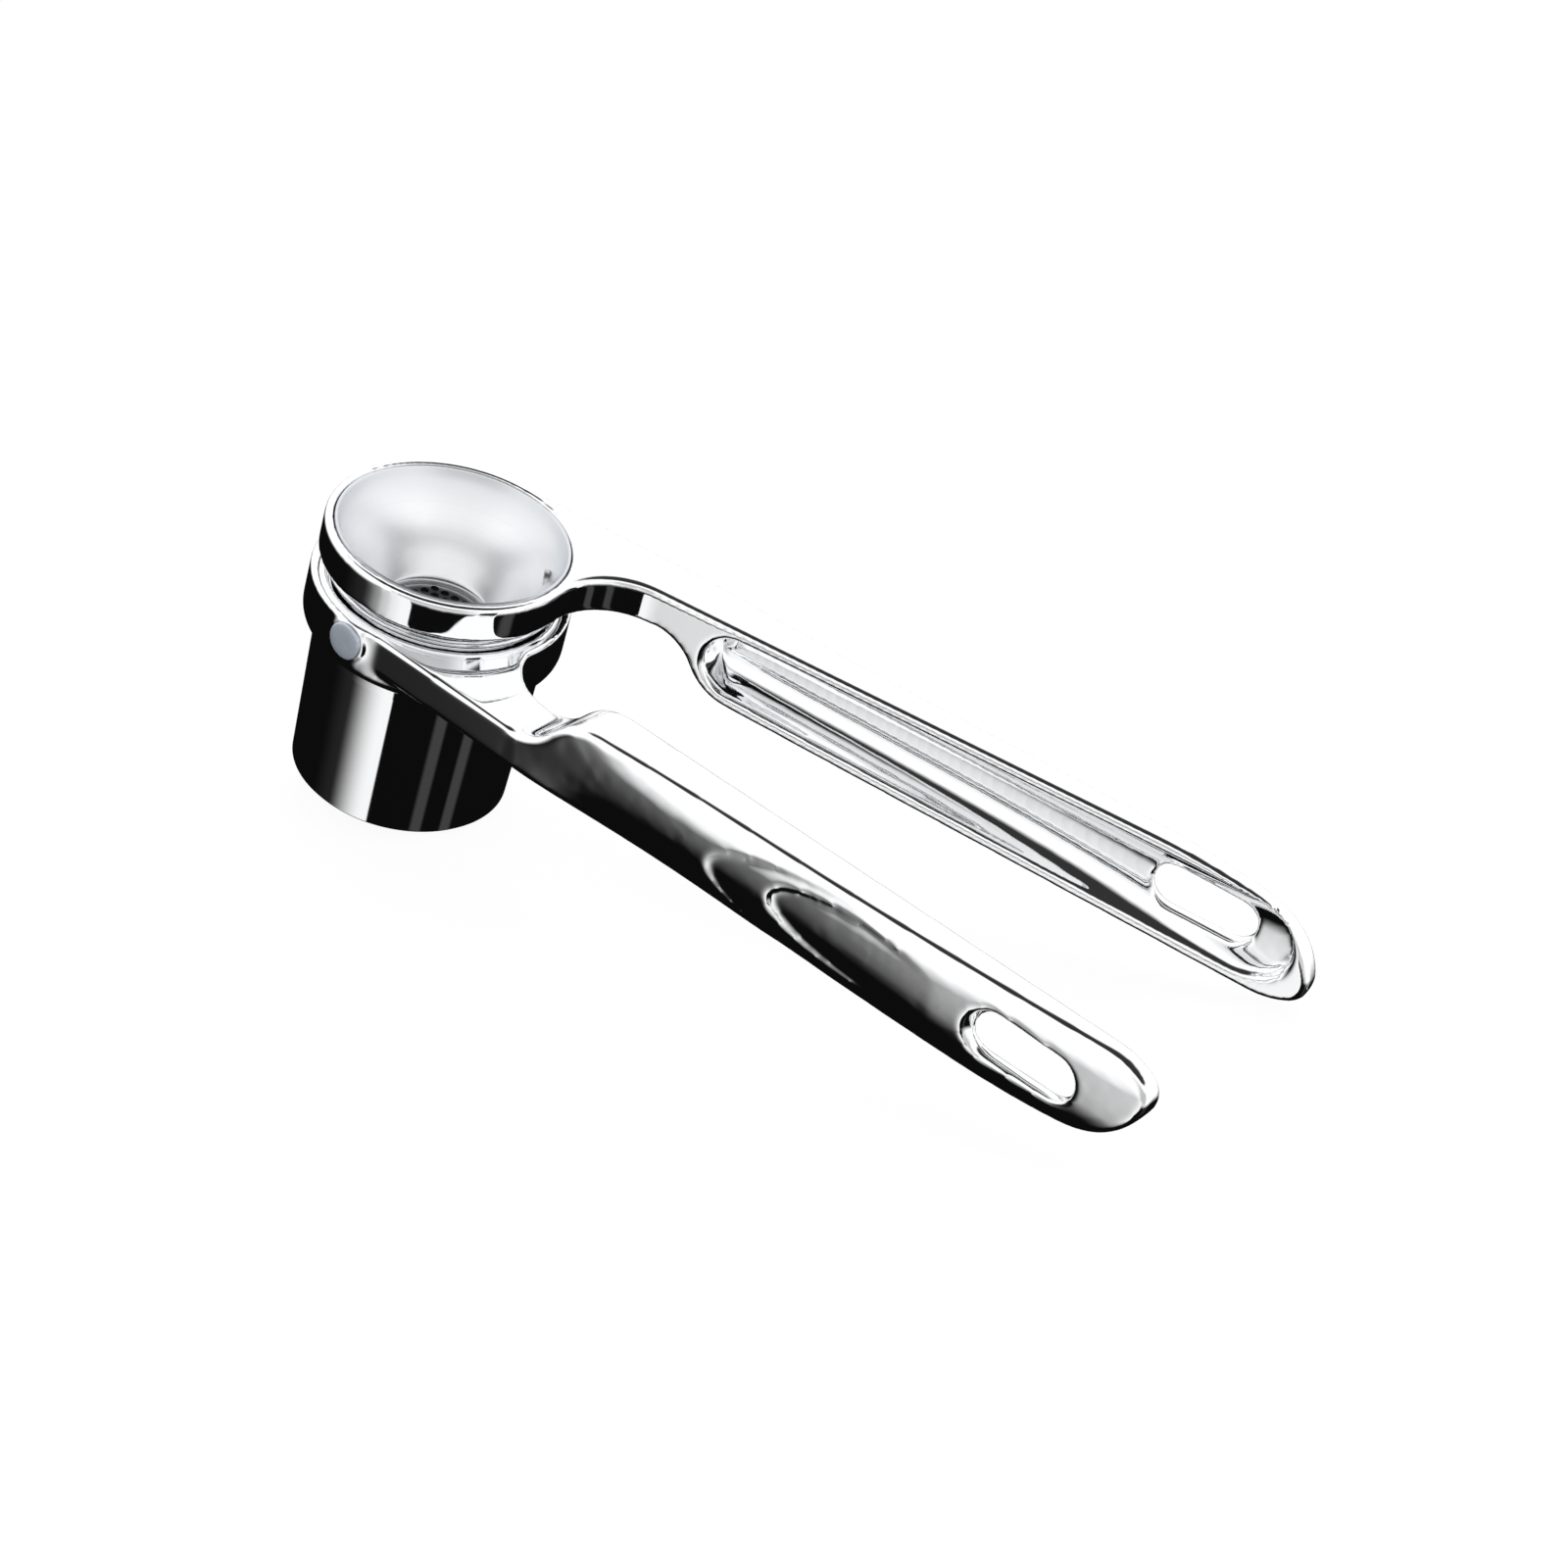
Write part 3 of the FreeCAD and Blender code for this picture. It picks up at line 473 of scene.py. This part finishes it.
class PressFinishSettings(bpy.types.PropertyGroup):
    """Colours and polish."""

    chrome_tint: bpy.props.FloatVectorProperty(
        name="Chrome tint", description="Colour of the polished chrome",
        default=(0.93, 0.935, 0.945), subtype="COLOR")
    chrome_haze: bpy.props.FloatProperty(
        name="Chrome haze", description="Roughness of the polish",
        default=0.045)
    satin_tint: bpy.props.FloatVectorProperty(
        name="Satin tint", description="Colour of the satin steel",
        default=(0.97, 0.975, 0.99), subtype="COLOR")
    satin_rough: bpy.props.FloatProperty(
        name="Satin roughness", description="Roughness of the bowl",
        default=0.28)
    pin_tint: bpy.props.FloatVectorProperty(
        name="Pin tint", description="Colour of the pin heads",
        default=(0.62, 0.68, 0.76), subtype="COLOR")
    throat_radius: bpy.props.FloatProperty(
        name="Throat radius", description="Radius of the hole under the funnel",
        default=0.009, unit="LENGTH")
    bearing_bore: bpy.props.FloatProperty(
        name="Bearing bore", description="Inner radius of the bearing ring",
        default=0.0183, unit="LENGTH", precision=6)
    bearing_lean: bpy.props.FloatProperty(
        name="Bearing lean", description="How far the ring's wall leans out",
        default=0.0011, unit="LENGTH", precision=6)
    ledge_height: bpy.props.FloatProperty(
        name="Ledge height", description="Height of the lower collar's top face",
        default=0.0394, unit="LENGTH", precision=6)
    arm_grid: bpy.props.FloatProperty(
        name="Arm grid", description="Spacing of the arms' surface",
        default=0.0004, unit="LENGTH", precision=6)
    arm_passes: bpy.props.IntProperty(
        name="Arm easing", description="Passes that ease the arms' edges",
        default=14)
    steel_tint: bpy.props.FloatVectorProperty(
        name="Steel tint", description="Colour of the inner steel",
        default=(0.42, 0.43, 0.44), subtype="COLOR")
    black_tint: bpy.props.FloatVectorProperty(
        name="Washer black", description="Colour of the foot washer's plastic",
        default=(0.008, 0.008, 0.009),
        subtype="COLOR")


# ---------------------------------------------------------------- operators
class PRESS_OT_arms(bpy.types.Operator):
    """Polish both arm castings, easing their edges"""

    bl_idname = "press.arms"
    bl_label = "Polished arms"

    def execute(self, context):
        settings = context.scene.press_finish
        material = polished_chrome("arm_polish", tuple(settings.chrome_tint), settings.chrome_haze, 0.03)
        for node, name, body in (
            ("lower_arm", "lower_handle", "lower"),
            ("upper_arm", "upper_handle", "upper"),
        ):
            piece = soft_copy(node, name, settings.arm_grid, settings.arm_passes)
            finish_piece(piece, body, "chrome_arms", material, node)
        return {"FINISHED"}


class PRESS_OT_bowl(bpy.types.Operator):
    """Turn the funnel bowl with its rolled lip and throat"""

    bl_idname = "press.bowl"
    bl_label = "Funnel bowl"

    def execute(self, context):
        settings = context.scene.press_finish
        low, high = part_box("bowl")
        radius = high.x / MM
        top = high.z / MM
        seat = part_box("bowl_seal")[1].z / MM
        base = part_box("strainer")[1].z / MM
        throat = settings.throat_radius / MM
        cup = curve_points([
            (radius - 0.5, top - 0.12), (radius - 1.4, top - 1.9), (radius - 3.05, top - 4.4),
            (radius - 5.4, top - 8.3), (radius - 7.6, top - 12.3), (throat + 0.9, base + 1.25),
            (throat + 0.25, base + 0.9), (throat, base + 0.45)], 6)
        profile = [(radius, seat), (radius, top - 0.35), (radius - 0.1, top - 0.1), (radius - 0.32, top)]
        profile += cup
        profile += [(throat, base + 0.05), (throat + 4.0, base + 0.05), (throat + 4.0, base + 4.2),
                    (radius - 2.2, seat - 0.35), (radius - 2.15, seat)]
        piece = turned("funnel_bowl", profile, 160)
        work_on(piece)
        bpy.ops.object.shade_smooth_by_angle(angle=math.radians(40))
        # painted shade: the bowl's colour darkens over the top 7.5 mm towards the rim, down to 0.8 of its
        # tint
        painted_shade_span = ((top - 7.5) * MM, (top - 0.5) * MM)
        material = satin_steel(
            "bowl_satin_turned", tuple(settings.satin_tint), settings.satin_rough, 9000.0, 0.12, 0.8, painted_shade_span)
        finish_piece(piece, "upper", "satin_bowl", material, "bowl")
        return {"FINISHED"}


class PRESS_OT_bearing(bpy.types.Operator):
    """Turn the polished bearing ring, its wall leaning out towards the upper arm"""

    bl_idname = "press.bearing"
    bl_label = "Bearing ring"

    def execute(self, context):
        settings = context.scene.press_finish
        flange_low, flange_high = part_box("bearing_bush")
        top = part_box("thrust_washer")[1].z / MM
        seam = flange_high.z / MM
        bore = settings.bearing_bore / MM
        wide = flange_high.x / MM
        foot = wide - settings.bearing_lean / MM
        ledge = settings.ledge_height / MM
        profile = [
            (wide, top), (bore, top), (bore, flange_low.z / MM), (bore + 0.8, flange_low.z / MM),
            (bore + 0.8, ledge + 0.2), (foot - 0.25, ledge + 0.1), (foot, ledge + 0.35)]
        middle = foot + (wide - foot) * (seam - ledge) / (top - ledge)
        profile += [(middle - 0.06, seam - 0.06), (middle - 0.14, seam), (middle - 0.02, seam + 0.06),
                    (wide - 0.05, top - 0.12)]
        piece = turned("bearing_ring", profile, 160)
        work_on(piece)
        bpy.ops.object.shade_smooth_by_angle(angle=math.radians(35))
        tint = tuple(settings.chrome_tint)
        material = polished_chrome("bearing_ring_polish", tint, settings.chrome_haze, 0.02)
        finish_piece(piece, "lower", "polished_bearing", material, "bearing_bush", "thrust_washer")
        return {"FINISHED"}


class PRESS_OT_pins(bpy.types.Operator):
    """Turn the two retaining pins with their low domed heads"""

    bl_idname = "press.pins"
    bl_label = "Retaining pins"

    def execute(self, context):
        settings = context.scene.press_finish
        low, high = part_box("retaining_pins")
        reach = high.y / MM
        height = (low.z + high.z) / 2
        head = (high.z - low.z) / 2 / MM
        material = brushed_disc("pin_face", tuple(settings.pin_tint), height)
        for name, side in (("front_pin", 1), ("back_pin", -1)):
            profile = [
                (head - 0.02, reach - 0.6), (head - 0.02, reach - 0.3), (head - 0.08, reach - 0.16),
                (head - 0.2, reach - 0.08), (head - 0.45, reach - 0.03), (head * 0.5, reach), (0.05, reach),
                (0.05, reach - 7.3), (1.4, reach - 7.3), (1.4, reach - 0.6)]
            piece = turned(name, profile, 72)
            work_on(piece)
            bpy.ops.object.shade_smooth_by_angle(angle=math.radians(40))
            piece.rotation_euler = (math.radians(90 * side), 0, 0)
            piece.location = (0, 0, height)
            bpy.ops.object.transform_apply(location=True, rotation=True, scale=True)
            finish_piece(piece, "lower", "satin_pins", material, "retaining_pins")
        return {"FINISHED"}


class PRESS_OT_finish_frame(bpy.types.Operator):
    """Give every CAD part its finish"""

    bl_idname = "press.finish_frame"
    bl_label = "Finish the frame"

    def execute(self, context):
        finish = context.scene.press_finish
        tint = tuple(finish.chrome_tint)
        satin = tuple(finish.satin_tint)
        steel = tuple(finish.steel_tint)
        black = tuple(finish.black_tint)
        makers = {
            "chrome_arms": polished_chrome("arm_chrome", tint, finish.chrome_haze, 0.03),
            "chrome_barrel": polished_chrome("barrel_chrome", tint, finish.chrome_haze * 0.7, 0.02),
            "satin_bowl": satin_steel("bowl_satin", satin, 0.30, 9000.0, 0.15),
            "satin_pins": satin_steel("pin_satin", tuple(c * 0.68 for c in satin), 0.34, 5200.0, 0.2),
            "inner_steel": satin_steel("inner_satin", steel, 0.16, 7000.0, 0.2),
            "polished_bearing": polished_chrome("bearing_polish", tint, finish.chrome_haze, 0.02),
            "black_washer": black_moulding("washer_black", black, 0.3),
            "seal_rubber": black_moulding("seal_black", tuple(c * 2 for c in black), 0.55),
        }
        for part in frame["record"]["subparts"]:
            node = frame["nodes"][part["node"]]
            material = makers[part["material_slot"]]
            if not node.material_slots:
                node.data.materials.append(material)
            for slot in node.material_slots:
                slot.material = material
        return {"FINISHED"}


class PRESS_OT_stage(bpy.types.Operator):
    """Set up the tent, the floor, the lights and the camera"""

    bl_idname = "press.stage"
    bl_label = "Stage"

    def execute(self, context):
        settings = context.scene.press_stage
        build_world(settings)
        build_floor(settings)
        build_lights(settings)
        build_camera(settings)
        context.scene.view_settings.view_transform = "Standard"
        return {"FINISHED"}


class PRESS_PT_panel(bpy.types.Panel):
    """Lists the press's pieces and settings"""

    bl_idname = "PRESS_PT_panel"
    bl_label = "Garlic press"
    bl_space_type = "VIEW_3D"
    bl_region_type = "UI"
    bl_category = "Press"

    def draw(self, context):
        for operator in OPERATORS:
            self.layout.operator(operator.bl_idname)
        for group in (context.scene.press_stage, context.scene.press_finish):
            box = self.layout.box()
            for name in group.bl_rna.properties.keys():
                if name not in ("rna_type", "name"):
                    box.prop(group, name)


OPERATORS = (
    PRESS_OT_finish_frame,
    PRESS_OT_arms,
    PRESS_OT_bowl,
    PRESS_OT_bearing,
    PRESS_OT_pins,
    PRESS_OT_stage,
)
CLASSES = (PressStageSettings, PressFinishSettings, *OPERATORS, PRESS_PT_panel)


def register():
    for each in CLASSES:
        bpy.utils.register_class(each)
    bpy.types.Scene.press_stage = bpy.props.PointerProperty(type=PressStageSettings)
    bpy.types.Scene.press_finish = bpy.props.PointerProperty(type=PressFinishSettings)


def unregister():
    del bpy.types.Scene.press_finish
    del bpy.types.Scene.press_stage
    for each in reversed(CLASSES):
        bpy.utils.unregister_class(each)


def main():
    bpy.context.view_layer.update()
    register()
    for operator in OPERATORS:
        getattr(bpy.ops.press, operator.bl_idname.split(".")[1])()


if __name__ == "__main__":
    main()
